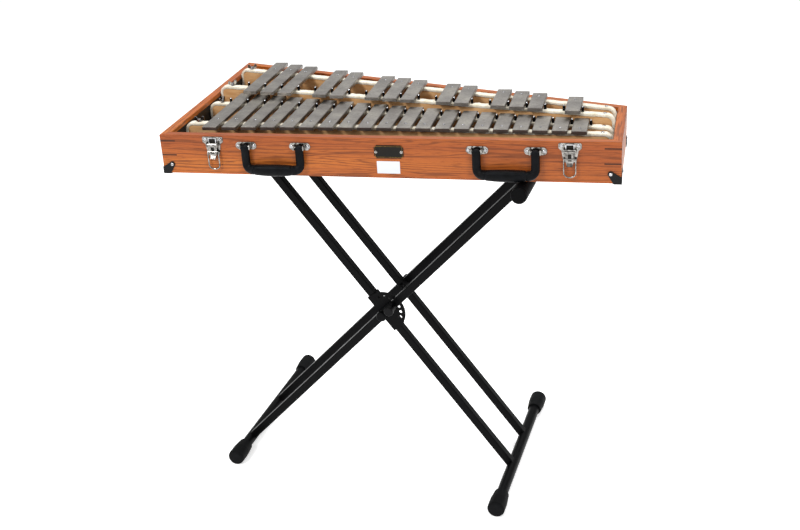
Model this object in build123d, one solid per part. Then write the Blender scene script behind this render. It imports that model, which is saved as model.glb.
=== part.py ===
from build123d import *
import math
import os

# Glockenspiel (orchestra bells) in a trapezoid oak case, standing on a folding X stand.
# Lengths are in millimetres. While it is being built the model is measured from the case:
# x from the case's left end, y back from its front face, z up from the floor.

# ---- case ----
CASE_LENGTH = 980.0
CASE_DEPTH_LOW = 583.0       # left end, where the longest bars are
CASE_DEPTH_HIGH = 243.0      # right end
CASE_HEIGHT = 87.0
CASE_BOTTOM = 780.0          # height of the case's underside above the floor
WALL = 19.0
FLOOR_PANEL = 9.0
KEY_LEG = 34.0               # wooden keys let into the mitred corners
KEY_THICKNESS = 3.2
KEY_HEIGHTS = (41.0, 73.0)
EDGE_BREAK = 1.2             # chamfer on the rim

# ---- bars ----
BAR_WIDTH = 31.75
BAR_THICKNESS = 7.9
BAR_BEVEL = 1.0
NATURAL_COUNT = 20
FIRST_NATURAL_X = 97.0
PITCH_FIRST = 43.9           # spacing at the low end
PITCH_DROP = 0.11            # the spacing closes up by this much times the bar number squared
NATURAL_LENGTHS = (254.0, 86.0)
NATURAL_FRONTS = (44.0, 54.0)
SHARP_LENGTHS = (247.0, 100.5)
SHARP_FRONTS = (255.0, 133.0)
LENGTH_SAG = 18.0            # mid-row bars are this much shorter than a straight taper
NODE_FRACTION = 0.224        # where a free bar stands still, from each end
NATURAL_TOP = 91.0           # above the case's underside
SHARP_TOP = 109.0            # the sharps lie over the inner ends of the naturals
SHARP_GROUPS = ((0, 3), (4, 2), (7, 3), (11, 2), (14, 3), (18, 1))   # first gap, bars in group
BAR_HOLE_R = 2.4
BAR_PIN_R = 1.6

# ---- rails, felt and posts ----
RAIL_WIDTH = 16.0
RAIL_CORNER = 11.0           # radius of the rail's top corners, which the felt follows
RAIL_END_GAP = 0.6           # between the felt round a rail's end and the case's wall
FELT_THICKNESS = 7.0
FELT_DROP = 46.0             # how far the felt runs down the rail's ends
FELT_OVERHANG = 1.0
WING_SCREW_X = 52.0          # wing screws hold the rails' low ends, plain screws the high ends
WING_SCREW_TURNS = {"natural_outer": 10.0, "natural_inner": 80.0, "sharp_inner": 50.0, "sharp_outer": 25.0}
END_SCREW_X = 938.0
WING_REACH = 11.0
WING_HEIGHT = 12.0
WING_THICKNESS = 2.2
HUB_R = 5.0
HUB_HEIGHT = 6.0
POST_SLEEVE_R = 3.0
POST_PIN_R = 1.2
POST_HEAD_R = 2.2
POST_DEPTH = 10.0            # depth of a post or a bar pin in its rail

# ---- fittings on the front ----
LATCH_X = (121.0, 878.0)
LATCH_PLATE = 1.6
LATCH_PIVOT = (-6.5, 68.0)   # y, and z above the case's underside
BAIL_PIVOT_Z = 52.0
BAIL_WIRE_R = 1.5
BAIL_HALF_WIDTH = 12.0
BAIL_BOTTOM_Z = 12.0
HANDLE_X = (255.0, 750.0)
HANDLE_SPACING = 119.0       # between the two end plates of a handle
HANDLE_PIVOT = (-9.0, 66.0)
HANDLE_PIN_R = 2.0
HANDLE_LEG_WIDTH = 17.0
HANDLE_LEG_DEPTH = 11.0
GRIP_HEIGHT = 25.0
GRIP_DEPTH = 23.0
GRIP_BOTTOM_Z = 4.0
SCREW_HEAD_R = 3.6
SCREW_R = 1.6
SCREW_LENGTH = 12.0
NAMEPLATE = (62.0, 28.0, 1.5)
NAMEPLATE_CENTRE = (506.0, 58.0)
PROTECTOR = 1.5

# ---- stand ----
STAND_TURN = -5.1            # degrees about Z: the case sits slightly askew on its stand
STAND_X = 452.0
STAND_Y = 186.0
PIVOT_HEIGHT = 407.0
SPREAD_A = 294.5             # foot of frame A, to the right of the pivot
SPREAD_B = 377.0             # foot of frame B, to the left of the pivot
TUBE = 19.0
TUBE_WALL = 1.5
TUBE_CORNER = 2.5
HALF_SPACING_A = 66.0        # frame A runs between the tubes of frame B
HALF_SPACING_B = 90.0
ROUND_TUBE_R = 13.0
ROUND_TUBE_WALL = 1.5
FOOT_HALF = 239.0
FOOT_SHIFT_A = 0.0
FOOT_SHIFT_B = 57.0
CAP_LENGTH = 62.0
CAP_END_WALL = 10.0
CAP_SHOULDER = 34.0          # where the cap reaches its full radius
CAP_ROUNDING = 6.0
CAP_R = 20.0
CAP_NECK_R = 17.0
FOOT_Z = 19.2                # a little under CAP_R, which leaves a flat to stand on
ARM_HALF = 165.0
ARM_SHIFT_A = 50.0
ARM_SHIFT_B = -25.0
ARM_CAP = 9.0
SLEEVE_R = 17.5
SLEEVE_GAP = 1.5
PLATE_R = 50.0               # half-round locking plate, carried by frame A's front tube
PLATE_THICKNESS = 3.0
PLATE_FLANGE = 2.5
PLATE_HOLES = 7
PLATE_HOLE_STEP = 20.0
PLATE_HOLE_R = 3.8
PLATE_HOLE_CIRCLE = 39.0
BOLT_R = 5.0
BOLT_CLEARANCE = 0.05
BOLT_CAP_R = 12.0
BOLT_CAP_HEIGHT = 8.0
NUT_R = 8.5
SPACER_R = 9.0
SPACER_GAP = 0.3
PIN_R = 3.2
PIN_GAP = 0.5                # the pin's tip stands this far off the plate, so the frames can turn
HOUSING_R = 9.5
HOUSING_BORE_R = 6.5
HOUSING_LENGTH = 16.0
COLLAR_R = 6.0
COLLAR_THICKNESS = 1.5
KNOB_R = 11.0
KNOB_LENGTH = 14.0
KNOB_GAP = 2.0
SPRING_WIRE_R = 0.6
SPRING_R = 5.0
SPRING_TURNS = 3

parts = {}


def block(x, y, z):
    """A box between the given low and high values on each axis."""
    size = [high - low for low, high in (x, y, z)]
    middle = [(low + high) / 2 for low, high in (x, y, z)]
    return Pos(*middle) * Box(*size)


def prism(points, low, high):
    """A vertical prism on an outline in plan."""
    outline = make_face(Polyline(*points, close=True))
    return extrude(Plane.XY.offset(low) * outline, high - low)


def rod(start, end, radius):
    """A round bar from one point to another."""
    run = Vector(*end) - Vector(*start)
    return extrude(Plane(origin=start, z_dir=run) * Circle(radius), run.length)


def mix(pair, share):
    return pair[0] + (pair[1] - pair[0]) * share


# ---- case ----
OUTER = [(0.0, 0.0), (CASE_LENGTH, 0.0), (CASE_LENGTH, CASE_DEPTH_HIGH), (0.0, CASE_DEPTH_LOW)]


def edge_directions(index):
    """Unit vectors along the two walls that leave a corner: the next wall and the one before."""
    corner = Vector(*OUTER[index])
    ahead = (Vector(*OUTER[(index + 1) % 4]) - corner).normalized()
    back = (Vector(*OUTER[index - 1]) - corner).normalized()
    return corner, ahead, back


def inner_corner(index):
    corner, ahead, back = edge_directions(index)
    reach = WALL / math.sin(math.radians(ahead.get_angle(back)))
    inside = corner + (ahead + back) * reach
    return inside.X, inside.Y


def corner_keys():
    keys = []
    for index in range(4):
        corner, ahead, back = edge_directions(index)
        ends = [corner, corner + ahead * KEY_LEG, corner + back * KEY_LEG]
        for height in KEY_HEIGHTS:
            low = CASE_BOTTOM + height - KEY_THICKNESS / 2
            keys.append(prism([(p.X, p.Y) for p in ends], low, low + KEY_THICKNESS))
    return keys


def case_walls():
    inner = [inner_corner(index) for index in range(4)]
    walls = {}
    for index, name in enumerate(("case_front", "case_right", "case_back", "case_left")):
        after = (index + 1) % 4
        outline = [OUTER[index], OUTER[after], inner[after], inner[index]]
        wall = prism(outline, CASE_BOTTOM, CASE_BOTTOM + CASE_HEIGHT)
        rim = wall.faces().sort_by(Axis.Z)[-1]
        long_edges = rim.edges().sort_by(SortBy.LENGTH)[-2:]
        walls[name] = chamfer(long_edges, EDGE_BREAK)
    floor = prism(inner, CASE_BOTTOM, CASE_BOTTOM + FLOOR_PANEL)
    return walls, floor


# ---- bars ----
def natural_x(number):
    return FIRST_NATURAL_X + PITCH_FIRST * number - PITCH_DROP * number ** 2


def gap_x(number):
    """The middle of the gap to the right of a natural bar."""
    return (natural_x(number) + natural_x(number + 1)) / 2


def bar_length(lengths, share):
    return mix(lengths, share) - 4 * LENGTH_SAG * share * (1 - share)


def bar_front(fronts, share):
    """Shorter mid-row bars stay centred on the row, so their fronts stand back by half."""
    return mix(fronts, share) + 2 * LENGTH_SAG * share * (1 - share)


def row_share(x, first, last):
    return (x - first) / (last - first)


def node_line(fronts, lengths, outer):
    """The straight line through one node of the first and last bars of a row."""
    ends = []
    for end in (0, 1):
        share = NODE_FRACTION if outer else 1 - NODE_FRACTION
        ends.append(fronts[end] + share * lengths[end])
    return ends


NATURAL_SPAN = (natural_x(0), natural_x(NATURAL_COUNT - 1))
SHARP_SPAN = (gap_x(0), gap_x(NATURAL_COUNT - 2))
RAILS = {
    "natural_outer": (NATURAL_SPAN, node_line(NATURAL_FRONTS, NATURAL_LENGTHS, True), NATURAL_TOP),
    "natural_inner": (NATURAL_SPAN, node_line(NATURAL_FRONTS, NATURAL_LENGTHS, False), NATURAL_TOP),
    "sharp_inner": (SHARP_SPAN, node_line(SHARP_FRONTS, SHARP_LENGTHS, True), SHARP_TOP),
    "sharp_outer": (SHARP_SPAN, node_line(SHARP_FRONTS, SHARP_LENGTHS, False), SHARP_TOP),
}


def rail_y(name, x):
    span, ends, _ = RAILS[name]
    return mix(ends, row_share(x, *span))


def rail_top(name):
    return CASE_BOTTOM + RAILS[name][2] - BAR_THICKNESS - FELT_THICKNESS


def rail_strip(name, half_width):
    """The upright slab over a rail's line in plan, from one end wall of the case to the other."""
    ends = [(x, rail_y(name, x)) for x in (WALL, CASE_LENGTH - WALL)]
    front = [(x, y - half_width) for x, y in ends]
    back = [(x, y + half_width) for x, y in reversed(ends)]
    return prism(front + back, CASE_BOTTOM, CASE_BOTTOM + 2 * CASE_HEIGHT)


def rail_elevation(inset, low, top, corner):
    """A rail's outline seen from the front, round at the two top corners, as a deep solid."""
    middle = CASE_LENGTH / 2
    half = middle - WALL - RAIL_END_GAP - inset
    solid = block((middle - half, middle + half), (0, CASE_DEPTH_LOW), (low, top))
    top_ends = solid.edges().filter_by(Axis.Y).group_by(Axis.Z)[-1]
    return fillet(top_ends, corner)


def rail(name):
    shape = rail_elevation(FELT_THICKNESS, CASE_BOTTOM + FLOOR_PANEL, rail_top(name), RAIL_CORNER)
    return shape & rail_strip(name, RAIL_WIDTH / 2)


def rail_felt(name):
    """Thick felt along the rail's top, turned down over both rounded ends."""
    top = rail_top(name)
    low = top - FELT_DROP
    outside = rail_elevation(0, low, top + FELT_THICKNESS, RAIL_CORNER + FELT_THICKNESS)
    inside = rail_elevation(FELT_THICKNESS, low - 1, top, RAIL_CORNER)
    return (outside - inside) & rail_strip(name, RAIL_WIDTH / 2 + FELT_OVERHANG)


def wing_screw(name):
    """A wing screw through the felt into the rail, its wings turned as it was last tightened."""
    y = rail_y(name, WING_SCREW_X)
    base = rail_top(name) + FELT_THICKNESS
    shank = rod((0, 0, -FELT_THICKNESS - POST_DEPTH), (0, 0, 0), POST_HEAD_R)
    hub = extrude(Circle(HUB_R), HUB_HEIGHT, taper=8)
    hub_edge = HUB_R - WING_THICKNESS / 2
    wing = Polyline((hub_edge - 3, 0.8), (hub_edge, 0.8), (WING_REACH, HUB_HEIGHT * 0.8),
                    (WING_REACH, WING_HEIGHT), (WING_REACH * 0.6, WING_HEIGHT), (hub_edge - 3, HUB_HEIGHT * 0.7),
                    close=True)
    plate = extrude(Plane.XZ * make_face(wing), WING_THICKNESS / 2, both=True)
    tips = plate.edges().filter_by(Axis.Y).sort_by(Axis.Z)[-2:]
    plate = fillet(tips, 1.8)
    body = shank + hub + plate + plate.mirror(Plane.YZ)
    return Pos(WING_SCREW_X, y, base) * Rot(0, 0, WING_SCREW_TURNS[name]) * body


def bar(x, front, length, top, hole_y):
    low = CASE_BOTTOM + top - BAR_THICKNESS
    plate = block((x - BAR_WIDTH / 2, x + BAR_WIDTH / 2), (front, front + length), (low, low + BAR_THICKNESS))
    plate = chamfer(plate.faces().sort_by(Axis.Z)[-1].edges(), BAR_BEVEL)
    return plate - Pos(x, hole_y, low) * Cylinder(BAR_HOLE_R, 4 * BAR_THICKNESS)


def natural_bar(number):
    x = natural_x(number)
    share = row_share(x, *NATURAL_SPAN)
    length = bar_length(NATURAL_LENGTHS, share)
    return bar(x, bar_front(NATURAL_FRONTS, share), length, NATURAL_TOP, rail_y("natural_outer", x))


def sharp_bar(gap):
    x = gap_x(gap)
    share = row_share(x, *SHARP_SPAN)
    length = bar_length(SHARP_LENGTHS, share)
    return bar(x, bar_front(SHARP_FRONTS, share), length, SHARP_TOP, rail_y("sharp_outer", x))


def bar_pin(x, name):
    """A headed pin through a bar's hole into the felt and the rail below."""
    y = rail_y(name, x)
    top = rail_top(name) + FELT_THICKNESS + BAR_THICKNESS
    shank = Pos(x, y, (rail_top(name) - POST_DEPTH + top) / 2)
    shank *= Cylinder(BAR_PIN_R, top - rail_top(name) + POST_DEPTH)
    head = Pos(x, y, top + 0.6) * Cylinder(BAR_HOLE_R + 0.8, 1.2)
    return shank + fillet(head.edges().sort_by(Axis.Z)[-1], 0.5)


def post(x, name):
    """A pin with a rubber sleeve that keeps two neighbouring bars apart."""
    y = rail_y(name, x)
    base = rail_top(name) + FELT_THICKNESS
    top = base + BAR_THICKNESS + 2.0
    sleeve = Pos(x, y, (base + top) / 2) * Cylinder(POST_SLEEVE_R, top - base)
    sleeve -= Pos(x, y, (base + top) / 2) * Cylinder(POST_PIN_R, top - base)
    low = rail_top(name) - POST_DEPTH
    pin = Pos(x, y, (low + top) / 2) * Cylinder(POST_PIN_R, top - low)
    pin += Pos(x, y, top) * Sphere(POST_HEAD_R, arc_size1=0, align=(Align.CENTER, Align.CENTER, Align.MIN))
    return sleeve, pin


# ---- fittings ----
def front_plane(x, z, out=0.0):
    """A plane on the case's front face, looking outwards, with its Y axis up."""
    return Plane(origin=(x, -out, CASE_BOTTOM + z), x_dir=(1, 0, 0), z_dir=(0, -1, 0))


def screw(plane):
    """A pan-head wood screw with a cross recess; the plane's Z axis points out of the head."""
    head = extrude(plane * Circle(SCREW_HEAD_R), 2.0)
    rims = head.edges().filter_by(GeomType.CIRCLE)
    head = fillet(rims.sort_by(lambda rim: (rim.center() - plane.origin).dot(plane.z_dir))[-1], 1.4)
    recess = extrude(plane.offset(1.1) * (Rectangle(3.6, 0.8) + Rectangle(0.8, 3.6)), 2.0)
    return head - recess + extrude(plane * Circle(SCREW_R), -SCREW_LENGTH)


def screw_hole(plane):
    return extrude(plane * Circle(SCREW_R), -SCREW_LENGTH)


def protector_leg(plane):
    """One leg of a pressed corner protector, lying on a wall next to the corner."""
    side = 1 if plane.y_dir.Z > 0 else -1
    outline = [(-PROTECTOR, -PROTECTOR), (15, -PROTECTOR), (26, 17), (18, 25), (-PROTECTOR, 13)]
    leg = make_face(Polyline(*[(u, side * v) for u, v in outline], close=True))
    leg += Pos(21, side * 20) * Circle(6.2)
    return extrude(plane * leg, PROTECTOR), plane.offset(PROTECTOR) * Pos(21, side * 20)


def corner_protector(index):
    corner, ahead, back = edge_directions(index)
    origin = (corner.X, corner.Y, CASE_BOTTOM)
    centre = Vector(CASE_LENGTH / 2, CASE_DEPTH_HIGH / 2)
    body = None
    screws = []
    for direction in (ahead, back):
        outward = Vector(direction.Y, -direction.X)
        if outward.dot(centre - corner) > 0:
            outward = -outward
        leg, place = protector_leg(Plane(origin=origin, x_dir=direction, z_dir=outward))
        body = leg if body is None else body + leg
        screws.append(Plane(place))
    under = [corner - (ahead + back) * PROTECTOR, corner + ahead * 15 - back * PROTECTOR,
             corner + ahead * 22 + back * 12, corner + ahead * 12 + back * 22,
             corner + back * 15 - ahead * PROTECTOR]
    body += prism([(p.X, p.Y) for p in under], CASE_BOTTOM - PROTECTOR, CASE_BOTTOM)
    return body, screws


def latch_plate(x):
    """The latch's base: eared plate with two lugs that carry the lever's pivot pin."""
    outline = [(-23, 84), (-23, 73), (-17, 68), (-13, 44), (13, 44), (17, 68), (23, 73), (23, 84)]
    flat = make_face(Polyline(*[(u, v - 60) for u, v in outline], close=True))
    plate = extrude(front_plane(x, 60) * fillet(flat.vertices(), 3), LATCH_PLATE)
    y, z = LATCH_PIVOT
    for side in (-1, 1):
        inner, outer = sorted((side * 10.5, side * 12.5))
        lug = block((x + inner, x + outer), (y - 4, 0), (CASE_BOTTOM + z - 5, CASE_BOTTOM + z + 5))
        plate += lug
    return plate + rod((x - 13.5, y, CASE_BOTTOM + z), (x + 13.5, y, CASE_BOTTOM + z), 1.8)


def latch_lever(x):
    """Tapered lever with its cross barrel at the top and a turned-up finger tip."""
    y, z = LATCH_PIVOT
    axis_z = CASE_BOTTOM + z
    outline = [(-10, 68), (-10, 60), (-8.5, 50), (-5.5, 38), (5.5, 38), (8.5, 50), (10, 60), (10, 68)]
    flat = make_face(Polyline(*[(u, v - 60) for u, v in outline], close=True))
    lever = extrude(front_plane(x, 60, 4.8) * flat, 3.4)
    lever += rod((x - 10, y, axis_z), (x + 10, y, axis_z), 4.0)
    tip = make_face(Polyline((-4.8, CASE_BOTTOM + 42), (-9.5, CASE_BOTTOM + 36), (-11.5, CASE_BOTTOM + 37.5),
                             (-8.2, CASE_BOTTOM + 44), close=True))
    lever += extrude(Plane.YZ.offset(x - 5.5) * tip, 11.0)
    lever += rod((x - 10.4, y, CASE_BOTTOM + BAIL_PIVOT_Z), (x + 10.4, y, CASE_BOTTOM + BAIL_PIVOT_Z), 2.6)
    bore = rod((x - 11, y, axis_z), (x + 11, y, axis_z), 1.8 + BOLT_CLEARANCE)
    eye_z = CASE_BOTTOM + BAIL_PIVOT_Z
    eye = rod((x - 11, y, eye_z), (x + 11, y, eye_z), BAIL_WIRE_R + BOLT_CLEARANCE)
    return lever - bore - eye


def latch_bail(x):
    """The wire loop that hooks over the lid's catch; its ends turn in the lever."""
    y = LATCH_PIVOT[0]
    z = CASE_BOTTOM + BAIL_PIVOT_Z
    w = BAIL_HALF_WIDTH
    low = CASE_BOTTOM + BAIL_BOTTOM_Z + BAIL_WIRE_R
    loop = FilletPolyline((x - w, y, z), (x - w, y, low), (x + w, y, low), (x + w, y, z), radius=w - 1.5)
    wire = sweep(Plane(origin=(x - w, y, z), z_dir=(0, 0, -1)) * Circle(BAIL_WIRE_R), path=loop)
    for side in (-1, 1):
        wire += Pos(x + side * w, y, z) * Sphere(BAIL_WIRE_R)
        wire += rod((x + side * w, y, z), (x + side * 5.5, y, z), BAIL_WIRE_R)
    return wire


def handle_plates(x):
    """Two oval end plates with lugs and a pin that the handle's leg turns on."""
    y, z = HANDLE_PIVOT
    axis_z = CASE_BOTTOM + z
    plates = []
    for side in (-1, 1):
        centre = x + side * HANDLE_SPACING / 2
        plate = extrude(front_plane(centre, z) * SlotOverall(46, 16), 2.0)
        for lug_side in (-1, 1):
            near, far = sorted((lug_side * 9.2, lug_side * 11.7))
            lug = block((centre + near, centre + far), (y - 4.5, 0), (axis_z - 5, axis_z + 5))
            plate += lug
        plates.append(plate + rod((centre - 13, y, axis_z), (centre + 13, y, axis_z), HANDLE_PIN_R))
    return plates


def handle(x):
    """A padded grip on two flat legs, hanging from its end plates."""
    y, z = HANDLE_PIVOT
    axis_z = CASE_BOTTOM + z
    half = (HANDLE_SPACING + HANDLE_LEG_WIDTH) / 2
    low = CASE_BOTTOM + GRIP_BOTTOM_Z
    front = y - GRIP_DEPTH + HANDLE_LEG_DEPTH / 2
    grip = block((x - half, x + half), (front, front + GRIP_DEPTH), (low, low + GRIP_HEIGHT))
    grip = fillet(grip.edges().filter_by(Axis.Y).group_by(Axis.Z)[0], 20)
    grip = fillet(grip.edges().filter_by(GeomType.LINE).filter_by(Axis.X), 7)
    for side in (-1, 1):
        centre = x + side * HANDLE_SPACING / 2
        near, far = centre - HANDLE_LEG_WIDTH / 2, centre + HANDLE_LEG_WIDTH / 2
        leg_y = (y - HANDLE_LEG_DEPTH / 2, y + HANDLE_LEG_DEPTH / 2)
        grip += block((near, far), leg_y, (low + GRIP_HEIGHT / 2, axis_z))
        grip += rod((near, y, axis_z), (far, y, axis_z), HANDLE_LEG_DEPTH / 2)
        grip -= rod((near - 1, y, axis_z), (far + 1, y, axis_z), HANDLE_PIN_R + BOLT_CLEARANCE)
    return grip


def nameplate():
    """A thin plate with hollow-cut corners."""
    width, height, thickness = NAMEPLATE
    face = Rectangle(width, height)
    for u in (-1, 1):
        for v in (-1, 1):
            face -= Pos(u * width / 2, v * height / 2) * Circle(4.5)
    return extrude(front_plane(*NAMEPLATE_CENTRE) * face, thickness)


def build_case():
    walls, floor = case_walls()
    keys = corner_keys()
    for name in walls:
        for key in keys:
            walls[name] -= key
    screws = []
    protectors = []
    for index in range(4):
        body, places = corner_protector(index)
        protectors.append(body)
        screws += places
    for x in LATCH_X:
        screws += [front_plane(x + side * 16.5, 79.0, LATCH_PLATE) for side in (-1, 1)]
    for x in HANDLE_X:
        for side in (-1, 1):
            for end in (-1, 1):
                at = x + side * HANDLE_SPACING / 2 + end * 17.5
                screws.append(front_plane(at, HANDLE_PIVOT[1], 2.0))
    plate_screws = [front_plane(NAMEPLATE_CENTRE[0] + side * 27.0, NAMEPLATE_CENTRE[1], NAMEPLATE[2])
                    for side in (-1, 1)]
    holes = [screw_hole(place) for place in screws + plate_screws]
    for name in walls:
        for hole in holes:
            walls[name] -= hole
    plates = {"latch_plate_left": [latch_plate(LATCH_X[0])], "latch_plate_right": [latch_plate(LATCH_X[1])],
              "handle_plates_left": handle_plates(HANDLE_X[0]), "handle_plates_right": handle_plates(HANDLE_X[1]),
              "nameplate": [nameplate()], "corner_protectors": protectors}
    for name, solids in plates.items():
        drilled = []
        for solid in solids:
            for hole in holes:
                solid -= hole
            drilled.append(solid)
        parts[name] = drilled
    for name, wall in walls.items():
        parts[name] = [wall]
    parts["case_floor"] = [floor]
    parts["corner_keys"] = keys
    parts["case_screws"] = [screw(place) for place in screws]
    parts["nameplate_screws"] = [screw(place) for place in plate_screws]


def build_bars():
    naturals = [natural_bar(number) for number in range(NATURAL_COUNT)]
    parts["natural_bars_low"] = naturals[:7]
    parts["natural_bars_middle"] = naturals[7:14]
    parts["natural_bars_high"] = naturals[14:]
    posts = [post(gap_x(number), "natural_inner") for number in range(-1, NATURAL_COUNT)]
    pins = [bar_pin(natural_x(number), "natural_outer") for number in range(NATURAL_COUNT)]
    for group, (first, count) in enumerate(SHARP_GROUPS, start=1):
        gaps = range(first, first + count)
        parts[f"sharp_bars_{group}"] = [sharp_bar(gap) for gap in gaps]
        pins += [bar_pin(gap_x(gap), "sharp_outer") for gap in gaps]
        posts += [post(natural_x(number), "sharp_inner") for number in range(first, first + count + 1)]
    parts["bar_pins"] = pins
    parts["post_sleeves"] = [sleeve for sleeve, _ in posts]
    parts["post_pins"] = [pin for _, pin in posts]


def build_rails():
    fixings = [wing_screw(name) for name in RAILS]
    for name in RAILS:
        seat = (END_SCREW_X, rail_y(name, END_SCREW_X), rail_top(name) + FELT_THICKNESS + 0.01)
        fixings.append(screw(Plane(origin=seat, z_dir=(0, 0, 1))))
    cutters = fixings + parts["bar_pins"] + parts["post_pins"]
    for name in RAILS:
        wood = rail(name)
        felt = rail_felt(name)
        for cutter in cutters:
            wood -= cutter
            felt -= cutter
        parts[f"rail_{name}"] = [wood]
        parts[f"felt_{name}"] = [felt]
    parts["rail_fixings"] = fixings


# ---- stand, built about its pivot with x to the right and y to the back ----
def stand_place(shape):
    return Pos(STAND_X, STAND_Y, PIVOT_HEIGHT) * Rot(0, 0, STAND_TURN) * shape


def leg_line(spread):
    """A frame's slope: the points of its foot and arm centres, in x and z from the pivot."""
    foot = Vector(spread, 0, FOOT_Z - PIVOT_HEIGHT)
    arm_z = CASE_BOTTOM - SLEEVE_R - PIVOT_HEIGHT
    arm = Vector(-spread * arm_z / (PIVOT_HEIGHT - FOOT_Z), 0, arm_z)
    return foot, arm


def square_tube(foot, arm, y):
    run = arm - foot
    plane = Plane(origin=(foot.X, y, foot.Z), x_dir=(0, 1, 0), z_dir=run)
    outside = extrude(plane * RectangleRounded(TUBE, TUBE, TUBE_CORNER), run.length)
    bore = TUBE - 2 * TUBE_WALL
    inside = extrude(plane * RectangleRounded(bore, bore, TUBE_CORNER - TUBE_WALL), run.length)
    tube = outside - inside
    for end in (foot, arm):
        tube -= rod((end.X, y - TUBE, end.Z), (end.X, y + TUBE, end.Z), ROUND_TUBE_R)
    return max(tube.solids(), key=lambda solid: solid.volume)


def round_tube(centre, low, high):
    ends = (centre.X, low, centre.Z), (centre.X, high, centre.Z)
    return rod(*ends, ROUND_TUBE_R) - rod(*ends, ROUND_TUBE_R - ROUND_TUBE_WALL)


def foot_cap(centre, end, side):
    """A flared rubber cap over the end of a foot, with a flat where it meets the floor."""
    arc = CAP_ROUNDING * (1 - math.sqrt(0.5))
    profile = make_face(
        Polyline((0, 0), (0, CAP_END_WALL), (ROUND_TUBE_R, CAP_END_WALL), (ROUND_TUBE_R, CAP_LENGTH),
                 (CAP_NECK_R, CAP_LENGTH), (CAP_R, CAP_SHOULDER), (CAP_R, CAP_ROUNDING))
        + ThreePointArc((CAP_R, CAP_ROUNDING), (CAP_R - arc, arc), (CAP_R - CAP_ROUNDING, 0))
        + Line((CAP_R - CAP_ROUNDING, 0), (0, 0)))
    shape = revolve(profile, Axis.Y)
    if side > 0:
        shape = Rot(0, 0, 180) * shape
    shape = Pos(centre.X, end + side * CAP_END_WALL, centre.Z) * shape
    below_floor = Pos(centre.X, end, -PIVOT_HEIGHT - CAP_LENGTH) * Box(*[2 * CAP_LENGTH] * 3)
    return shape - below_floor


def arm_sleeves(centre, half_spacing, shift):
    """Rubber sleeves along an arm, interrupted at the two frame tubes, and a cap at each end."""
    gap = TUBE / 2 + SLEEVE_GAP
    stretches = [(shift - ARM_HALF, -half_spacing - gap), (-half_spacing + gap, half_spacing - gap),
                 (half_spacing + gap, shift + ARM_HALF)]
    pieces = []
    for low, high in stretches:
        sleeve = rod((centre.X, low, centre.Z), (centre.X, high, centre.Z), SLEEVE_R)
        pieces.append(sleeve - rod((centre.X, low, centre.Z), (centre.X, high, centre.Z), ROUND_TUBE_R))
    for side in (-1, 1):
        start = shift + side * ARM_HALF
        cap = rod((centre.X, start, centre.Z), (centre.X, start + side * ARM_CAP, centre.Z), SLEEVE_R - 0.5)
        rim = cap.edges().filter_by(GeomType.CIRCLE).sort_by(Axis.Y)[-1 if side > 0 else 0]
        pieces.append(fillet(rim, ARM_CAP / 2))
    return pieces


def frame(letter, spread, half_spacing, foot_shift, arm_shift):
    foot, arm = leg_line(spread)
    tubes = {}
    for name, side in (("front", -1), ("rear", 1)):
        y = side * half_spacing
        tube = square_tube(foot, arm, y)
        tube -= rod((0, y - TUBE, 0), (0, y + TUBE, 0), BOLT_R + (BOLT_CLEARANCE if letter == "b" else 0))
        tubes[f"{letter}_tube_{name}"] = [tube]
    low, high = foot_shift - FOOT_HALF, foot_shift + FOOT_HALF
    tubes[f"{letter}_foot"] = [round_tube(foot, low, high)]
    tubes[f"{letter}_foot_caps"] = [foot_cap(foot, low, -1), foot_cap(foot, high, 1)]
    tubes[f"{letter}_arm"] = [round_tube(arm, arm_shift - ARM_HALF, arm_shift + ARM_HALF)]
    tubes[f"{letter}_arm_sleeves"] = arm_sleeves(arm, half_spacing, arm_shift)
    return tubes


A_FRONT = -HALF_SPACING_A - TUBE / 2            # front face of frame A's front tube
PLATE_FRONT = A_FRONT - PLATE_THICKNESS
B_REAR = -HALF_SPACING_B + TUBE / 2             # rear and front faces of frame B's front tube
B_FRONT = -HALF_SPACING_B - TUBE / 2
COLLAR_BACK = B_FRONT - 2.0
PIN_ANGLE = math.degrees(math.atan2(PIVOT_HEIGHT - FOOT_Z, SPREAD_B))   # slope of frame B


def pivot_bolt(side):
    """Bolt through both frames with a domed cap outside and a nut inside; it is tight in frame A."""
    inner = side * (HALF_SPACING_A - TUBE / 2)
    outer = side * (HALF_SPACING_B + TUBE / 2 + SPACER_GAP)
    bolt = rod((0, inner - side * 10, 0), (0, outer, 0), BOLT_R)
    cap = rod((0, outer, 0), (0, outer + side * BOLT_CAP_HEIGHT, 0), BOLT_CAP_R)
    rim = cap.edges().filter_by(GeomType.CIRCLE).sort_by(Axis.Y)[-1 if side > 0 else 0]
    nut_plane = Plane(origin=(0, inner, 0), x_dir=(1, 0, 0), z_dir=(0, -side, 0))
    nut = extrude(nut_plane * (RegularPolygon(NUT_R, 6) - Circle(BOLT_R)), 8)
    return bolt + fillet(rim, BOLT_CAP_HEIGHT / 2), nut


def on_circle(degrees):
    angle = math.radians(degrees)
    return PLATE_HOLE_CIRCLE * math.cos(angle), PLATE_HOLE_CIRCLE * math.sin(angle)


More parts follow.
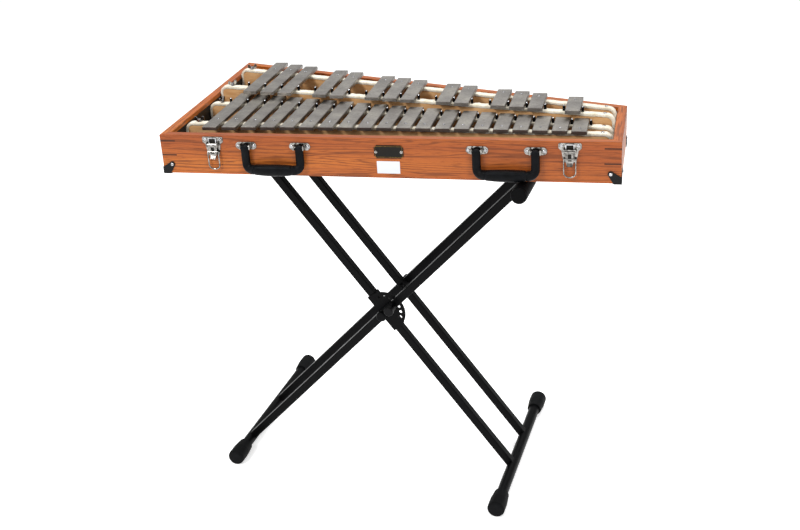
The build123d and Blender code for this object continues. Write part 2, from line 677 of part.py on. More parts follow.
def lock_plate():
    """Half-round plate about the pivot, with a row of holes, on the face of frame A's front tube."""
    foot, arm = leg_line(SPREAD_A)
    plane = Plane(origin=(0, A_FRONT, 0), x_dir=arm - foot, z_dir=(0, -1, 0))
    strip = TUBE / 2 + PLATE_FLANGE
    outline = Circle(PLATE_R) - Pos(0, PLATE_R) * Rectangle(2 * PLATE_R, 2 * PLATE_R)
    outline += Pos(0, strip / 2) * Rectangle(2 * PLATE_R, strip)
    plate = extrude(plane * outline, PLATE_THICKNESS) - rod((0, A_FRONT, 0), (0, B_REAR, 0), BOLT_R)
    for number in range(PLATE_HOLES):
        x, z = on_circle(PIN_ANGLE + (number - PLATE_HOLES // 2) * PLATE_HOLE_STEP)
        plate -= rod((x, A_FRONT + 1, z), (x, B_REAR, z), PLATE_HOLE_R)
    return plate


def lock_flanges():
    """The plate's folded edges, above and below frame A's front tube."""
    foot, arm = leg_line(SPREAD_A)
    run = (arm - foot).normalized()
    plane = Plane(origin=run * -PLATE_R + Vector(0, -HALF_SPACING_A, 0), x_dir=(0, 1, 0), z_dir=run)
    outline = Rectangle(TUBE, TUBE + 2 * PLATE_FLANGE) - Rectangle(TUBE, TUBE)
    return list(extrude(plane * outline, 2 * PLATE_R).solids())


def pin_housing():
    """Spring housing on the front of frame B's front tube, bored for the locking pin."""
    x, z = on_circle(PIN_ANGLE)
    front = B_FRONT - HOUSING_LENGTH
    body = rod((x, B_FRONT, z), (x, front, z), HOUSING_R)
    body -= rod((x, B_FRONT, z), (x, front + COLLAR_THICKNESS, z), HOUSING_BORE_R)
    return body - rod((x, B_FRONT, z), (x, front, z), PIN_R + BOLT_CLEARANCE)


def pull_pin():
    """Locking pin with its collar and the round knob it is pulled by."""
    x, z = on_circle(PIN_ANGLE)
    knob_back = B_FRONT - HOUSING_LENGTH - KNOB_GAP
    pin = rod((x, PLATE_FRONT - PIN_GAP, z), (x, knob_back, z), PIN_R)
    pin += rod((x, COLLAR_BACK, z), (x, COLLAR_BACK - COLLAR_THICKNESS, z), COLLAR_R)
    knob = rod((x, knob_back, z), (x, knob_back - KNOB_LENGTH, z), KNOB_R)
    return pin + fillet(knob.edges().filter_by(GeomType.CIRCLE), KNOB_R / 4)


def pin_spring():
    x, z = on_circle(PIN_ANGLE)
    start = COLLAR_BACK - COLLAR_THICKNESS - SPRING_WIRE_R
    end = B_FRONT - HOUSING_LENGTH + COLLAR_THICKNESS + SPRING_WIRE_R
    length = start - end
    helix = Helix(pitch=length / SPRING_TURNS, height=length, radius=SPRING_R)
    wire = sweep(Plane(origin=helix @ 0, z_dir=helix % 0) * Circle(SPRING_WIRE_R), path=helix)
    return Pos(x, start, z) * Rot(90, 0, 0) * wire


def spacers():
    """Washers on the bolts that hold the frames apart."""
    front = rod((0, PLATE_FRONT, 0), (0, B_REAR + SPACER_GAP, 0), SPACER_R)
    front -= rod((0, PLATE_FRONT + 1, 0), (0, B_REAR - 1, 0), BOLT_R)
    rear = rod((0, -A_FRONT, 0), (0, -B_REAR - SPACER_GAP, 0), SPACER_R)
    return [front, rear - rod((0, -A_FRONT - 1, 0), (0, -B_REAR + 1, 0), BOLT_R)]


def build_stand():
    nodes = frame("a", SPREAD_A, HALF_SPACING_A, FOOT_SHIFT_A, ARM_SHIFT_A)
    nodes.update(frame("b", -SPREAD_B, HALF_SPACING_B, FOOT_SHIFT_B, ARM_SHIFT_B))
    x, z = on_circle(PIN_ANGLE)
    passage = rod((x, B_REAR + 1, z), (x, B_FRONT - 1, z), PIN_R + BOLT_CLEARANCE)
    nodes["b_tube_front"] = [nodes["b_tube_front"][0] - passage]
    nodes["pivot_bolts"] = [solid for side in (-1, 1) for solid in pivot_bolt(side)]
    nodes["pivot_spacers"] = spacers()
    nodes["lock_plate"] = [lock_plate()]
    nodes["lock_flanges"] = lock_flanges()
    nodes["pin_housing"] = [pin_housing()]
    nodes["pull_pin"] = [pull_pin()]
    nodes["pin_spring"] = [pin_spring()]
    for name, solids in nodes.items():
        parts[name] = [stand_place(solid) for solid in solids]


build_case()
build_bars()
build_rails()
for side, latch_x, handle_x in zip(("left", "right"), LATCH_X, HANDLE_X):
    parts[f"latch_lever_{side}"] = [latch_lever(latch_x)]
    parts[f"latch_bail_{side}"] = [latch_bail(latch_x)]
    parts[f"handle_{side}"] = [handle(handle_x)]
build_stand()

# The finished model's origin is on the floor, under the middle of its overall box.
boxes = [solid.bounding_box() for solids in parts.values() for solid in solids]
middle_x = (min(box.min.X for box in boxes) + max(box.max.X for box in boxes)) / 2
middle_y = (min(box.min.Y for box in boxes) + max(box.max.Y for box in boxes)) / 2
os.makedirs("parts", exist_ok=True)
for name, solids in parts.items():
    moved = [Pos(-middle_x, -middle_y, 0) * solid for solid in solids]
    export_step(moved[0] if len(moved) == 1 else Compound(children=moved), f"parts/{name}.step")
print(len(parts), "nodes; origin moved by", round(middle_x, 3), round(middle_y, 3))
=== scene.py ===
import math

import bpy
import bmesh
from mathutils import Matrix, Vector, noise


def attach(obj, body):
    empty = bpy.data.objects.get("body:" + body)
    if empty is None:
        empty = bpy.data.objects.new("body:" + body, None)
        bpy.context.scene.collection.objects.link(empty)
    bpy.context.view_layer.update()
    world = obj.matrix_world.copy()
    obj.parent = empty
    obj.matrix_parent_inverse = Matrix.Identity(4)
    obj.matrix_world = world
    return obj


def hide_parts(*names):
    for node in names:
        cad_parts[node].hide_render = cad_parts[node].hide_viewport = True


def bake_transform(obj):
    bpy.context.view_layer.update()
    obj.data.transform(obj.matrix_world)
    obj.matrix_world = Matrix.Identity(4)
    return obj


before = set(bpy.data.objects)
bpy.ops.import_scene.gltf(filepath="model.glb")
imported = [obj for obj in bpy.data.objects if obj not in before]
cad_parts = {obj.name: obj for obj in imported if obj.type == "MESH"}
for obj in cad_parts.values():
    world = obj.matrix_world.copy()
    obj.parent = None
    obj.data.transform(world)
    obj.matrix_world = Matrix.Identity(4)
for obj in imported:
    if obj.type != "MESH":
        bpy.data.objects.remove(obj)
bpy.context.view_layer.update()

MM = 0.001

# ---------------------------------------------------------------- places, in millimetres
CASE_ORIGIN = Vector((-490.0, -247.765, 780.0))      # the case's front left lower corner
SIDES = ("left", "right")
HANDLE_X = (255.0, 750.0)
LATCH_X = (121.0, 878.0)
NAMEPLATE_X, NAMEPLATE_Z, NAMEPLATE_FACE = 506.0, 58.0, 1.5
LABEL_X, LABEL_Z = 503.5, 23.5
LATCH_PLATE_FACE, LATCH_LEVER_FACE = 1.6, 8.1        # how far each stands off the case
THROAT_Z, LEVER_WELL_Z = 75.5, 55.5
INSIDE_SHADE_Z = 0.857          # in metres: inside the case, faces below this height are painted nearly black as shade

# ---------------------------------------------------------------- padded pieces, in millimetres
FELT_VOXEL, FELT_SMOOTHING = 1.8, 5
FELT_LUMPS = ((14.0, 0.9), (5.0, 0.4))               # spacing and height of the lumps
HANDLE_SIDES = 28            # corners of a handle's cross-section
HANDLE_SQUARENESS = 0.78     # 1 makes the section an ellipse, less squares it
LEATHER_WRINKLE = (7.0, 0.25)                        # spacing and height
BEND = 13.0                  # radius of a handle's bends, from leg to grip
BEND_STEPS = 8
LEG_U, LEG_TOP, GRIP_Z = 60.0, 71.0, 16.5
LEG_STEPS = (0, 1.2, 4, 9, 16, 24, 32)               # rings down from a leg's top
GRIP_STEPS = (2.5, 4, 5, 6, 8, 13, 20, 28, 36)       # rings along the grip, close together at the crease
LEG_WIDTH, LEG_DEPTH, LEG_Y = 9.0, 5.6, -9.2         # half width, half depth and set-back
CREASE_U, CREASE_WIDTH, CREASE_DEPTH = 5.0, 1.1, 0.13
ROWS = ("natural_outer", "natural_inner", "sharp_inner", "sharp_outer")


# ---------------------------------------------------------------- colour and nodes
def linear(code):
    """A colour given as an sRGB hex code, in the linear values that shaders use."""
    values = [int(code[i:i + 2], 16) / 255 for i in (0, 2, 4)]
    return tuple(v / 12.92 if v <= 0.04045 else ((v + 0.055) / 1.055) ** 2.4 for v in values) + (1.0,)


def add(material, kind, settings, links=None):
    """Adds a node. Settings are its properties, its inputs' values or a ramp's stops; links feed its
    inputs from other nodes."""
    tree = material.node_tree
    node = tree.nodes.new("ShaderNode" + kind)
    for key, value in settings.items():
        if key == "stops":
            while len(node.color_ramp.elements) < len(value):
                node.color_ramp.elements.new(0.5)
            for element, (where, tone) in zip(node.color_ramp.elements, value):
                element.position = where
                element.color = linear(tone) if isinstance(tone, str) else (tone, tone, tone, 1.0)
        elif isinstance(key, int) or key in node.inputs:
            node.inputs[key].default_value = linear(value) if isinstance(value, str) else value
        else:
            setattr(node, key, value)
    for key, source in (links or {}).items():
        tree.links.new(source.outputs[0] if hasattr(source, "outputs") else source, node.inputs[key])
    return node


def begin(name):
    """A new empty material, and its Object coordinates in millimetres."""
    material = bpy.data.materials.new(name)
    material.use_nodes = True
    material.node_tree.nodes.clear()
    coordinates = add(material, "TexCoord", {}).outputs["Object"]
    return material, add(material, "Mapping", {"Scale": (1 / MM,) * 3}, {"Vector": coordinates})


# ---------------------------------------------------------------- materials
def oiled_oak(name, turn, seed, inward):
    """Flat-sawn red oak under thin satin varnish: orange brown, with wavy dark growth rings a few
    millimetres apart and short open pores. Inside the case, faces below the rim are painted nearly black as
    shade."""
    material, mm = begin(name)
    board = add(material, "Mapping", {"Rotation": (0, 0, turn)}, {"Vector": mm})
    along = add(material, "Mapping", {"Scale": (0.05, 1, 1), "Location": (seed * 37, seed * 11, seed * 5)},
                {"Vector": board})
    wander = add(material, "TexNoise", {"Scale": 1 / 26, "Detail": 3.0, "Distortion": 0.4}, {"Vector": along})
    parts = add(material, "SeparateXYZ", {}, {"Vector": along})
    across = add(material, "Math", {"operation": "ADD"}, {0: parts.outputs[2], 1: parts.outputs[1]})
    rings = add(material, "Math", {"operation": "MULTIPLY_ADD", 1: 70.0}, {0: wander, 2: across})
    phase = add(material, "Math", {"operation": "MULTIPLY", 1: 2 * math.pi / 8.5}, {0: rings})
    wave = add(material, "Math", {"operation": "SINE"}, {0: phase})
    late = add(material, "ValToRGB", {"stops": [(0.35, 0.0), (0.95, 0.7)]}, {0: wave})
    pore_place = add(material, "Mapping", {"Scale": (0.04, 1, 1)}, {"Vector": board})
    pores = add(material, "TexNoise", {"Scale": 1 / 1.4, "Detail": 3.0, "Roughness": 0.6},
                {"Vector": pore_place})
    broad = add(material, "TexNoise", {"Scale": 1 / 55, "Detail": 2.0}, {"Vector": along})
    base = add(material, "ValToRGB", {"stops": [(0.3, "94481A"), (0.55, "AA5A1E"), (0.75, "BA6B27")]},
               {0: broad})
    ringed = add(material, "Mix", {"data_type": "RGBA", 7: "66300C"}, {0: late, 6: base})
    open_pores = add(material, "ValToRGB", {"stops": [(0.36, 0.7), (0.46, 0.0)]}, {0: pores})
    streaked = add(material, "Mix", {"data_type": "RGBA", 7: "5E2A0B"},
                   {0: open_pores, 6: ringed.outputs[2]})
    # Painted shade: faces turned into the case and below the rim height are mixed towards near-black 0E0906.
    facing = add(material, "NewGeometry", {})
    inside = add(material, "VectorMath", {"operation": "DOT_PRODUCT", 1: inward},
                 {0: facing.outputs["Normal"]})
    is_inside = add(material, "Math", {"operation": "GREATER_THAN", 1: 0.7}, {0: inside.outputs["Value"]})
    where = add(material, "TexCoord", {}).outputs["Object"]
    height = add(material, "SeparateXYZ", {}, {"Vector": where})
    low = add(material, "Math", {"operation": "LESS_THAN", 1: INSIDE_SHADE_Z}, {0: height.outputs[2]})
    inside_shade_mask = add(material, "Math", {"operation": "MULTIPLY"}, {0: is_inside, 1: low})
    colour = add(material, "Mix", {"data_type": "RGBA", 7: "0E0906"}, {0: inside_shade_mask, 6: streaked.outputs[2]})
    gloss = add(material, "ValToRGB", {"stops": [(0.3, 0.58), (0.6, 0.42)]}, {0: pores})
    relief = add(material, "Bump", {"Distance": 0.12 * MM}, {"Height": pores})
    shader = add(material, "BsdfPrincipled", {"Specular IOR Level": 0.3, "Coat Weight": 0.08,
                                              "Coat Roughness": 0.3},
                 {"Base Color": colour.outputs[2], "Roughness": gloss, "Normal": relief})
    add(material, "OutputMaterial", {}, {"Surface": shader})
    return material


def fibrous(name, light, dark, figure_size, roughness):
    """Bare close-grained timber, or card: faint straight figure and fibre along the piece."""
    material, mm = begin(name)
    along = add(material, "Mapping", {"Scale": (0.06, 1, 1)}, {"Vector": mm})
    figure = add(material, "TexNoise", {"Scale": 1 / figure_size, "Detail": 4.0, "Distortion": 0.6},
                 {"Vector": along})
    thin = add(material, "Mapping", {"Scale": (0.02, 1, 1)}, {"Vector": mm})
    fibre = add(material, "TexNoise", {"Scale": 1 / 0.9, "Roughness": 0.6}, {"Vector": thin})
    colour = add(material, "ValToRGB", {"stops": [(0.3, dark), (0.65, light)]}, {0: figure})
    share = add(material, "ValToRGB", {"stops": [(0.3, 0.25), (0.6, 0.0)]}, {0: fibre})
    fibrous = add(material, "Mix", {"data_type": "RGBA", 7: dark}, {0: share, 6: colour})
    relief = add(material, "Bump", {"Distance": 0.05 * MM}, {"Height": fibre})
    shader = add(material, "BsdfPrincipled", {"Roughness": roughness, "Specular IOR Level": 0.3},
                 {"Base Color": fibrous.outputs[2], "Normal": relief})
    add(material, "OutputMaterial", {}, {"Surface": shader})
    return material


def wool_felt():
    """Pressed wool felt, undyed: cream, matt and woolly, and a little grubby in patches; the hollows between
    its tufts are painted darker as shade.
    """
    material, mm = begin("pressed_wool_felt")
    tuft = add(material, "TexNoise", {"Scale": 1 / 1.8, "Detail": 5.0, "Roughness": 0.7}, {"Vector": mm})
    soil = add(material, "TexNoise", {"Scale": 1 / 20, "Detail": 3.0, "Roughness": 0.6}, {"Vector": mm})
    clean = add(material, "ValToRGB", {"stops": [(0.3, "D2C7AE"), (0.5, "E4DDCB"), (0.7, "F1ECE0")]},
                {0: soil})
    # Painted shade: where the tuft bump is low, the colour is mixed towards AFA288.
    tuft_hollow_shade = add(material, "ValToRGB", {"stops": [(0.35, 0.5), (0.6, 0.0)]}, {0: tuft})
    colour = add(material, "Mix", {"data_type": "RGBA", 7: "AFA288"}, {0: tuft_hollow_shade, 6: clean})
    relief = add(material, "Bump", {"Distance": 0.8 * MM}, {"Height": tuft})
    shader = add(material, "BsdfPrincipled", {"Roughness": 0.95, "Sheen Weight": 0.3, "Sheen Roughness": 0.6},
                 {"Base Color": colour.outputs[2], "Normal": relief})
    add(material, "OutputMaterial", {}, {"Surface": shader})
    return material


def bar_steel():
    """Ground tool steel gone dull: grey, blotchy with age and handling, with faint lines along the bar."""
    material, mm = begin("aged_ground_steel")
    lengthwise = add(material, "Mapping", {"Scale": (1, 0.02, 1)}, {"Vector": mm})
    lines = add(material, "TexNoise", {"Scale": 1 / 0.7, "Detail": 3.0}, {"Vector": lengthwise})
    blotch = add(material, "TexNoise", {"Scale": 1 / 8, "Detail": 6.0, "Roughness": 0.68}, {"Vector": mm})
    cloud = add(material, "TexNoise", {"Scale": 1 / 42, "Detail": 3.0}, {"Vector": mm})
    tone = add(material, "ValToRGB", {"stops": [(0.3, "827E7A"), (0.5, "94908B"), (0.7, "A5A199")]},
               {0: cloud})
    spots = add(material, "ValToRGB", {"stops": [(0.36, 0.45), (0.54, 0.0)]}, {0: blotch})
    colour = add(material, "Mix", {"data_type": "RGBA", 7: "635E59"}, {0: spots, 6: tone})
    gloss = add(material, "ValToRGB", {"stops": [(0.3, 0.48), (0.7, 0.32)]}, {0: blotch})
    grinding = add(material, "Bump", {"Distance": 0.008 * MM}, {"Height": lines})
    relief = add(material, "Bump", {"Distance": 0.012 * MM}, {"Height": blotch, "Normal": grinding})
    shader = add(material, "BsdfPrincipled", {"Metallic": 1.0},
                 {"Base Color": colour.outputs[2], "Roughness": gloss, "Normal": relief})
    add(material, "OutputMaterial", {}, {"Surface": shader})
    return material


def plated(name, light, dark, roughness):
    """Plated steel hardware: bright, with a thin film of dirt and fine scuffs."""
    material, mm = begin(name)
    film = add(material, "TexNoise", {"Scale": 1 / 6, "Detail": 4.0, "Roughness": 0.6}, {"Vector": mm})
    rubbed = add(material, "Mapping", {"Scale": (1, 1, 0.1)}, {"Vector": mm})
    scuff = add(material, "TexNoise", {"Scale": 1 / 0.6}, {"Vector": rubbed})
    colour = add(material, "ValToRGB", {"stops": [(0.35, dark), (0.6, light)]}, {0: film})
    gloss = add(material, "ValToRGB", {"stops": [(0.3, roughness + 0.2), (0.65, roughness)]}, {0: film})
    relief = add(material, "Bump", {"Distance": 0.01 * MM}, {"Height": scuff})
    shader = add(material, "BsdfPrincipled", {"Metallic": 1.0},
                 {"Base Color": colour, "Roughness": gloss, "Normal": relief})
    add(material, "OutputMaterial", {}, {"Surface": shader})
    return material


def dark_finish(name, base, worn, gloss, pebble_size, pebble_depth, shine):
    """Black coating or moulding: base colour greyed with dust in patches, and a fine pebbled skin."""
    material, mm = begin(name)
    skin = add(material, "TexNoise", {"Scale": 1 / pebble_size, "Detail": 3.0}, {"Vector": mm})
    dust = add(material, "TexNoise", {"Scale": 1 / 30, "Detail": 5.0, "Roughness": 0.6}, {"Vector": mm})
    colour = add(material, "ValToRGB", {"stops": [(0.4, base), (0.75, worn)]}, {0: dust})
    polish = add(material, "ValToRGB", {"stops": [(0.3, gloss), (0.7, gloss + 0.14)]}, {0: dust})
    relief = add(material, "Bump", {"Distance": pebble_depth * MM}, {"Height": skin})
    shader = add(material, "BsdfPrincipled", {"Specular IOR Level": shine},
                 {"Base Color": colour, "Roughness": polish, "Normal": relief})
    add(material, "OutputMaterial", {}, {"Surface": shader})
    return material


def grained_leather():
    """Black leather on the handles: fine pebble grain, a soft shine where it is gripped."""
    material, mm = begin("black_grained_leather")
    cells = add(material, "TexVoronoi", {"feature": "DISTANCE_TO_EDGE", "Scale": 1 / 1.6}, {"Vector": mm})
    pebble = add(material, "ValToRGB", {"stops": [(0.0, 0.0), (0.22, 1.0)]}, {0: cells.outputs["Distance"]})
    wear = add(material, "TexNoise", {"Scale": 1 / 16, "Detail": 3.0}, {"Vector": mm})
    colour = add(material, "ValToRGB", {"stops": [(0.4, "050608"), (0.75, "0C0E12")]}, {0: wear})
    gloss = add(material, "ValToRGB", {"stops": [(0.3, 0.30), (0.7, 0.46)]}, {0: wear})
    relief = add(material, "Bump", {"Distance": 0.12 * MM}, {"Height": pebble})
    shader = add(material, "BsdfPrincipled", {"Specular IOR Level": 0.09},
                 {"Base Color": colour, "Roughness": gloss, "Normal": relief})
    add(material, "OutputMaterial", {}, {"Surface": shader})
    return material


# The blacks differ in how they shine: powder coat is satin, the rubbers are matt, japanning and enamel
# are glossy, and the moulded knob lies between. Nickel is dulled with age, chrome is brighter.
MATERIALS = {
    "oak_front": oiled_oak("oiled_oak_front", 0.0, 1.0, (0, 1, 0)),
    "oak_back": oiled_oak("oiled_oak_back", math.radians(19.13), 2.0, (-0.33, -0.94, 0)),
    "oak_left": oiled_oak("oiled_oak_left", math.radians(90), 3.0, (1, 0, 0)),
    "oak_right": oiled_oak("oiled_oak_right", math.radians(90), 4.0, (-1, 0, 0)),
    # Painted shade: the case floor is coloured nearly black for the shade inside the case.
    "plywood": fibrous("plywood_painted_dark_as_shade", "140E0A", "0B0806", 9.0, 0.8),
    "key": fibrous("walnut_keys", "4A240F", "321606", 9.0, 0.5),
    "maple": fibrous("bare_maple", "D9AE7C", "BD8A57", 9.0, 0.6),
    "felt": wool_felt(),
    "steel": bar_steel(),
    "chrome": plated("bright_chrome_plate", "CFCFD1", "8F8F92", 0.1),
    "nickel": plated("polished_nickel_plate", "A3A09B", "5E5B57", 0.1),
    "brass": plated("dulled_brass", "8A6C34", "5A4420", 0.35),
    "spring": plated("bright_spring_wire", "B8B8BA", "8E8E90", 0.3),
    "powder": dark_finish("satin_black_powder_coat", "040405", "08090A", 0.36, 0.9, 0.03, 0.07),
    "rubber": dark_finish("moulded_rubber_caps", "060708", "0D0E10", 0.6, 0.8, 0.08, 0.1),
    "sleeve": dark_finish("soft_rubber_sleeves", "040405", "080809", 0.62, 0.8, 0.08, 0.07),
    "japan": dark_finish("black_japanning", "050506", "0D0D0E", 0.25, 2.2, 0.02, 0.2),
    # This black enamel also serves as painted shade: dark sheets in the latches' throats and lever wells.
    "enamel_and_shade": dark_finish("black_enamel_and_painted_shade", "0B0904", "17120A", 0.25, 2.2, 0.01, 0.2),
    "leather": grained_leather(),
    "knob": dark_finish("moulded_black_knob", "060607", "0C0C0D", 0.4, 1.2, 0.03, 0.12),
    "paper": fibrous("plain_white_label", "D3D6DB", "C6C9CE", 30.0, 0.7),
}

NODE_FINISH = {
    "case_front": "oak_front", "case_back": "oak_back", "case_left": "oak_left", "case_right": "oak_right",
    "case_floor": "plywood", "corner_keys": "key", "corner_protectors": "japan", "bar_pins": "chrome",
    "post_pins": "chrome", "post_sleeves": "sleeve", "case_screws": "chrome", "rail_fixings": "chrome",
    "nameplate": "enamel_and_shade", "nameplate_screws": "nickel", "pull_pin": "knob", "pin_spring": "spring",
}
PREFIX_FINISH = {"rail_": "maple", "felt_": "felt", "natural_bars": "steel", "sharp_bars": "steel",
                 "latch_": "nickel", "handle_plates": "nickel", "handle_": "leather",
                 "a_foot_caps": "rubber", "b_foot_caps": "rubber", "a_arm_sleeves": "sleeve",
                 "b_arm_sleeves": "sleeve", "": "powder"}


def finish_cad_nodes():
    for name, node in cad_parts.items():
        finish = NODE_FINISH.get(name) or next(value for start, value in PREFIX_FINISH.items()
                                               if name.startswith(start))
        node.data.materials.clear()
        node.data.materials.append(MATERIALS[finish])


# ---------------------------------------------------------------- padded pieces
def deselect():
    bpy.ops.object.select_all(action="DESELECT")


def select_only(piece):
    deselect()
    piece.select_set(True)
    bpy.context.view_layer.objects.active = piece


def keep(piece, body, slot, finish, *replaced):
    """Gives a finished piece its material and its place in the part."""
    piece.data.materials.clear()
    piece.data.materials.append(MATERIALS[finish])
    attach(piece, body)
    if replaced:
        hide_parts(*replaced)


def merged_copy(node, name, threshold):
    """A copy of a CAD node's mesh as its own object, with its loose triangles joined."""
    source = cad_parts[node]
    mesh = source.data.copy()
    mesh.transform(source.matrix_world)
    piece = bpy.data.objects.new(name, mesh)
    bpy.context.collection.objects.link(piece)
    select_only(piece)
    bpy.ops.object.mode_set(mode="EDIT")
    bpy.ops.mesh.select_all(action="SELECT")
    bpy.ops.mesh.remove_doubles(threshold=threshold * MM)
    bpy.ops.object.mode_set(mode="OBJECT")
    return piece


def felt_strip(row):
    """The felt round a rail: its outline remeshed and smoothed, then raised and hollowed in lumps."""
    strip = merged_copy("felt_" + row, "wool_strip_" + row, 0.01)
    remesh = strip.modifiers.new("voxels", "REMESH")
    remesh.mode = "VOXEL"
    remesh.voxel_size = FELT_VOXEL * MM
    bpy.ops.object.modifier_apply(modifier=remesh.name)
    soften = strip.modifiers.new("soften", "SMOOTH")
    soften.iterations = FELT_SMOOTHING
    bpy.ops.object.modifier_apply(modifier=soften.name)
    normals = [vertex.normal.copy() for vertex in strip.data.vertices]
    for vertex, normal in zip(strip.data.vertices, normals):
        lump = sum(noise.noise(vertex.co / (spacing * MM)) * height for spacing, height in FELT_LUMPS)
        vertex.co += normal * lump * MM
    bpy.ops.object.shade_smooth()
    keep(strip, "case", "felt", "felt", "felt_" + row)


def handle_path():
    """Stations from a leg's top to the middle of the grip: place across, height, degrees turned."""
    points = [(-LEG_U, LEG_TOP - step, 0.0) for step in LEG_STEPS]
    bend_top, grip_start = GRIP_Z + BEND, -LEG_U + BEND
    points.append((-LEG_U, bend_top, 0.0))
    for step in range(1, BEND_STEPS + 1):
        turn = step * 90 / BEND_STEPS
        angle = math.radians(turn)
        points.append((-LEG_U + BEND * (1 - math.cos(angle)), bend_top - BEND * math.sin(angle), turn))
    return points + [(grip_start + step, GRIP_Z, 90.0) for step in (*GRIP_STEPS, -grip_start)]


def handle_ring(u, w, turn):
    """Half width across the strap, half depth and set-back of the leather at a station."""
    if w > GRIP_Z + BEND:
        crown = min(1.0, math.sqrt(max(0.0, LEG_TOP - w + 0.15) / 4))
        return LEG_WIDTH * crown, LEG_DEPTH * crown, LEG_Y
    share = turn / 90
    if share < 1:
        return LEG_WIDTH + 1.2 * share, LEG_DEPTH + 3.4 * share ** 2, LEG_Y - 4.0 * share
    along_grip = u + LEG_U - BEND
    swell = math.sin(math.pi / 2 * min(1.0, along_grip / (LEG_U - BEND))) ** 0.8
    crease = 1.0 - CREASE_DEPTH * math.exp(-((along_grip - CREASE_U) / CREASE_WIDTH) ** 2)
    return (10.2 + 2.3 * swell) * crease, (9.0 + 2.4 * swell) * crease, -13.2 - 1.8 * swell


def leather_handle(side, x):
    """A stuffed leather grip and its two straps, lofted ring by ring."""
    half = handle_path()
    stations = half + [(-u, w, 180 - turn) for u, w, turn in reversed(half[:-1])]
    shape = bmesh.new()
    rings = []
    for u, w, turn in stations:
        mirrored = u > 0
        width, depth, y = handle_ring(-abs(u), w, 180 - turn if mirrored else turn)
        lean = math.radians(turn)
        across = Vector((math.cos(lean), 0, math.sin(lean)))
        centre = CASE_ORIGIN + Vector((x + u, y, w))
        ring = []
        for step in range(HANDLE_SIDES):
            angle = 2 * math.pi * step / HANDLE_SIDES
            c, s = math.cos(angle), math.sin(angle)
            offset = across * width * math.copysign(abs(c) ** HANDLE_SQUARENESS, c)
            offset += Vector((0, 1, 0)) * depth * math.copysign(abs(s) ** HANDLE_SQUARENESS, s)
            ring.append(shape.verts.new((centre + offset) * MM))
        rings.append(ring)
    for first, second in zip(rings, rings[1:]):
        for step in range(HANDLE_SIDES):
            following = (step + 1) % HANDLE_SIDES
            shape.faces.new((first[step], first[following], second[following], second[step]))
    shape.faces.new(rings[0])
    shape.faces.new(rings[-1])
    bmesh.ops.recalc_face_normals(shape, faces=shape.faces)
    mesh = bpy.data.meshes.new("leather_handle_" + side)
    shape.to_mesh(mesh)
    shape.free()
    piece = bpy.data.objects.new("leather_handle_" + side, mesh)
    bpy.context.collection.objects.link(piece)
    select_only(piece)
    round_off = piece.modifiers.new("round_off", "SUBSURF")
    round_off.levels = round_off.render_levels = 2
    bpy.ops.object.modifier_apply(modifier=round_off.name)
    spacing, height = LEATHER_WRINKLE
    for vertex in piece.data.vertices:
        wrinkle = noise.noise(vertex.co / (spacing * MM)) * height
        vertex.co += vertex.normal * wrinkle * MM
    bpy.ops.object.shade_smooth()
    keep(piece, "carry_handle_" + side, "black_leather", "leather", "handle_" + side)


def housed_spring():
    """The locking pin's spring, which closes up as the pin is drawn, joined into one smooth piece in place of
    the CAD node; it is not tied to the pin here.
    """
    spring = merged_copy("pin_spring", "coil_in_housing", 0.001)
    bpy.ops.object.shade_smooth()
    spring.data.materials.clear()
    spring.data.materials.append(MATERIALS["spring"])
    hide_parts("pin_spring")
    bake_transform(spring)


# ---------------------------------------------------------------- small flat pieces
def front_tablet(name, x, z, size, stand_off, rounding):
    """A thin rounded tablet on the front of the case; size is its width, thickness and height."""
    deselect()
    where = CASE_ORIGIN + Vector((x, -stand_off - size[1] / 2, z))
    bpy.ops.mesh.primitive_cube_add(size=1, location=where * MM)
    piece = bpy.context.object
    piece.name = name
    piece.scale = Vector(size) * MM
    bpy.ops.object.transform_apply()
    corners = piece.modifiers.new("corners", "BEVEL")
    corners.width = rounding * MM
    corners.segments = 3
    corners.limit_method = "ANGLE"
    bpy.ops.object.modifier_apply(modifier=corners.name)
    return piece


def front_frame(name, x, z, size, stand_off, line):
    """An open rectangular frame on the front of the case, its border line millimetres wide."""
    piece = front_tablet(name, x, z, size, stand_off, 0.1)
    select_only(piece)
    bpy.ops.object.mode_set(mode="EDIT")
    bpy.ops.mesh.select_all(action="DESELECT")
    shape = bmesh.from_edit_mesh(piece.data)
    for face in sorted(shape.faces, key=lambda face: face.calc_area())[-2:]:
        face.select = True
    bmesh.update_edit_mesh(piece.data)
    bpy.ops.mesh.inset(thickness=line * MM)
    bpy.ops.mesh.bridge_edge_loops()
    bpy.ops.object.mode_set(mode="OBJECT")
    return piece


def latch_details(side, x):
    """The latch's throat, a dark sheet of painted shade inside its bright frame, and the dark well down the
    middle of the lever, another sheet of painted shade.
    """
    # Painted shade: a thin black sheet over the throat stands for its dark opening.
    throat = front_tablet("latch_throat_" + side, x, THROAT_Z, (14.0, 0.8, 10.0), LATCH_PLATE_FACE, 0.3)
    keep(throat, "case", "nickel", "enamel_and_shade")
    surround = front_frame("latch_throat_frame_" + side, x, THROAT_Z, (18.0, 2.4, 13.5),
                           LATCH_PLATE_FACE, 1.8)
    keep(surround, "case", "nickel", "chrome")
    # Painted shade: a thin black sheet down the lever stands for the shade in its well.
    well = front_tablet("latch_lever_well_" + side, x, LEVER_WELL_Z, (7.5, 0.5, 15.0), LATCH_LEVER_FACE, 0.2)
    keep(well, "lever_" + side, "nickel", "enamel_and_shade")


def front_trim():
    """The blank label and the thin line round the blank nameplate."""
    label = front_tablet("blank_white_label", LABEL_X, LABEL_Z, (49.0, 0.25, 27.0), 0.0, 0.1)
    keep(label, "case", "oak", "paper")
    border = front_frame("nameplate_border", NAMEPLATE_X, NAMEPLATE_Z, (58.0, 0.3, 24.0), NAMEPLATE_FACE, 0.6)
    keep(border, "case", "nameplate_black", "brass")


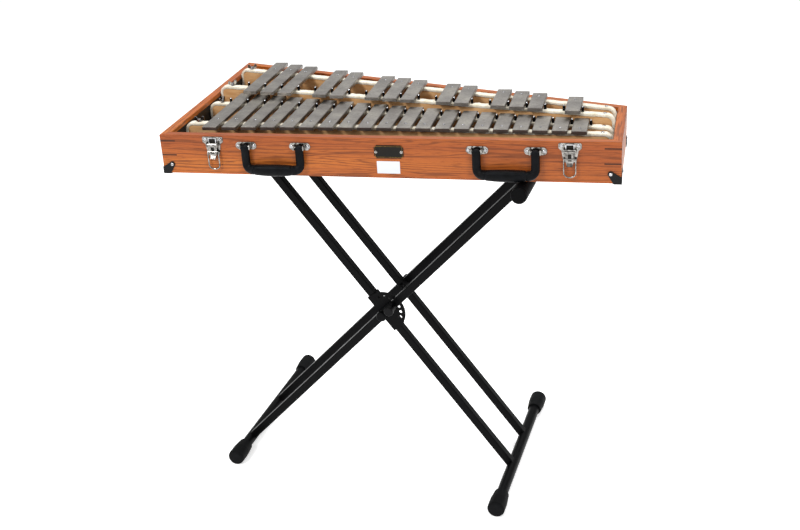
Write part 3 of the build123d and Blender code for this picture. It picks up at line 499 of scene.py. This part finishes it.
# ---------------------------------------------------------------- camera, light and floor
def floor_material():
    """Seamless white paper: bright and even, with a little light of its own so that it reads white."""
    material, mm = begin("studio_white_paper")
    mottle = add(material, "TexNoise", {"Scale": 1 / 400}, {"Vector": mm})
    colour = add(material, "ValToRGB", {"stops": [(0.0, "F8F8F8"), (1.0, "FBFBFB")]}, {0: mottle})
    shader = add(material, "BsdfPrincipled", {"Roughness": 0.9, "Specular IOR Level": 0.1,
                                              "Emission Color": "FFFFFF", "Emission Strength": 0.5},
                 {"Base Color": colour})
    add(material, "OutputMaterial", {}, {"Surface": shader})
    return material


def make_floor():
    deselect()
    bpy.ops.mesh.primitive_plane_add(size=30, location=(0, 0, 0))
    floor = bpy.context.object
    floor.name = "studio_floor"
    floor.data.materials.append(floor_material())


# Each light's place and size in metres, and its power in watts.
LIGHTS = (("key_light", (-1.5, -2.4, 2.9), 0.8, 62), ("fill_light", (2.2, -2.6, 2.4), 1.0, 34),
          ("top_light", (0.2, 1.1, 3.6), 3.0, 110))
LIGHTS_AIM = Vector((0, 0, 0.8))
WORLD_STRENGTH = 0.5
CAMERA_PLACE = (0.567, -2.4358, 1.622)               # in metres
CAMERA_ANGLES = (13.91, 24.81, -3.53)                # yaw, pitch down and roll, in degrees
CAMERA_LENS = 51.75


def make_lights():
    world = bpy.data.worlds.new("studio")
    bpy.context.scene.world = world
    world.use_nodes = True
    world.node_tree.nodes["Background"].inputs[0].default_value = linear("FFFFFF")
    world.node_tree.nodes["Background"].inputs[1].default_value = WORLD_STRENGTH
    for name, where, size, power in LIGHTS:
        light = bpy.data.lights.new(name, "AREA")
        light.size = size
        light.energy = power
        holder = bpy.data.objects.new(name, light)
        holder.location = where
        holder.rotation_euler = (LIGHTS_AIM - holder.location).to_track_quat("-Z", "Y").to_euler()
        bpy.context.collection.objects.link(holder)


def make_camera():
    """A standing photographer's view, from in front and to the right, looking down on the bars."""
    yaw, pitch, roll = (math.radians(v) for v in CAMERA_ANGLES)
    forward = Vector((-math.sin(yaw) * math.cos(pitch), math.cos(yaw) * math.cos(pitch), -math.sin(pitch)))
    right = Vector((math.cos(yaw), math.sin(yaw), 0))
    up = right.cross(forward)
    turned_right = math.cos(roll) * right + math.sin(roll) * up
    turned_up = -math.sin(roll) * right + math.cos(roll) * up
    camera = bpy.data.cameras.new("camera")
    camera.lens = CAMERA_LENS
    camera.sensor_width = 36
    camera.clip_end = 50
    holder = bpy.data.objects.new("camera", camera)
    bpy.context.collection.objects.link(holder)
    rotation = Matrix((turned_right, turned_up, -forward)).transposed()
    holder.matrix_world = Matrix.Translation(CAMERA_PLACE) @ rotation.to_4x4()
    bpy.context.scene.camera = holder


finish_cad_nodes()
for row in ROWS:
    felt_strip(row)
for side, x in zip(SIDES, HANDLE_X):
    leather_handle(side, x)
front_trim()
for side, x in zip(SIDES, LATCH_X):
    latch_details(side, x)
housed_spring()
make_floor()
make_lights()
make_camera()
bpy.context.scene.view_settings.view_transform = "Standard"
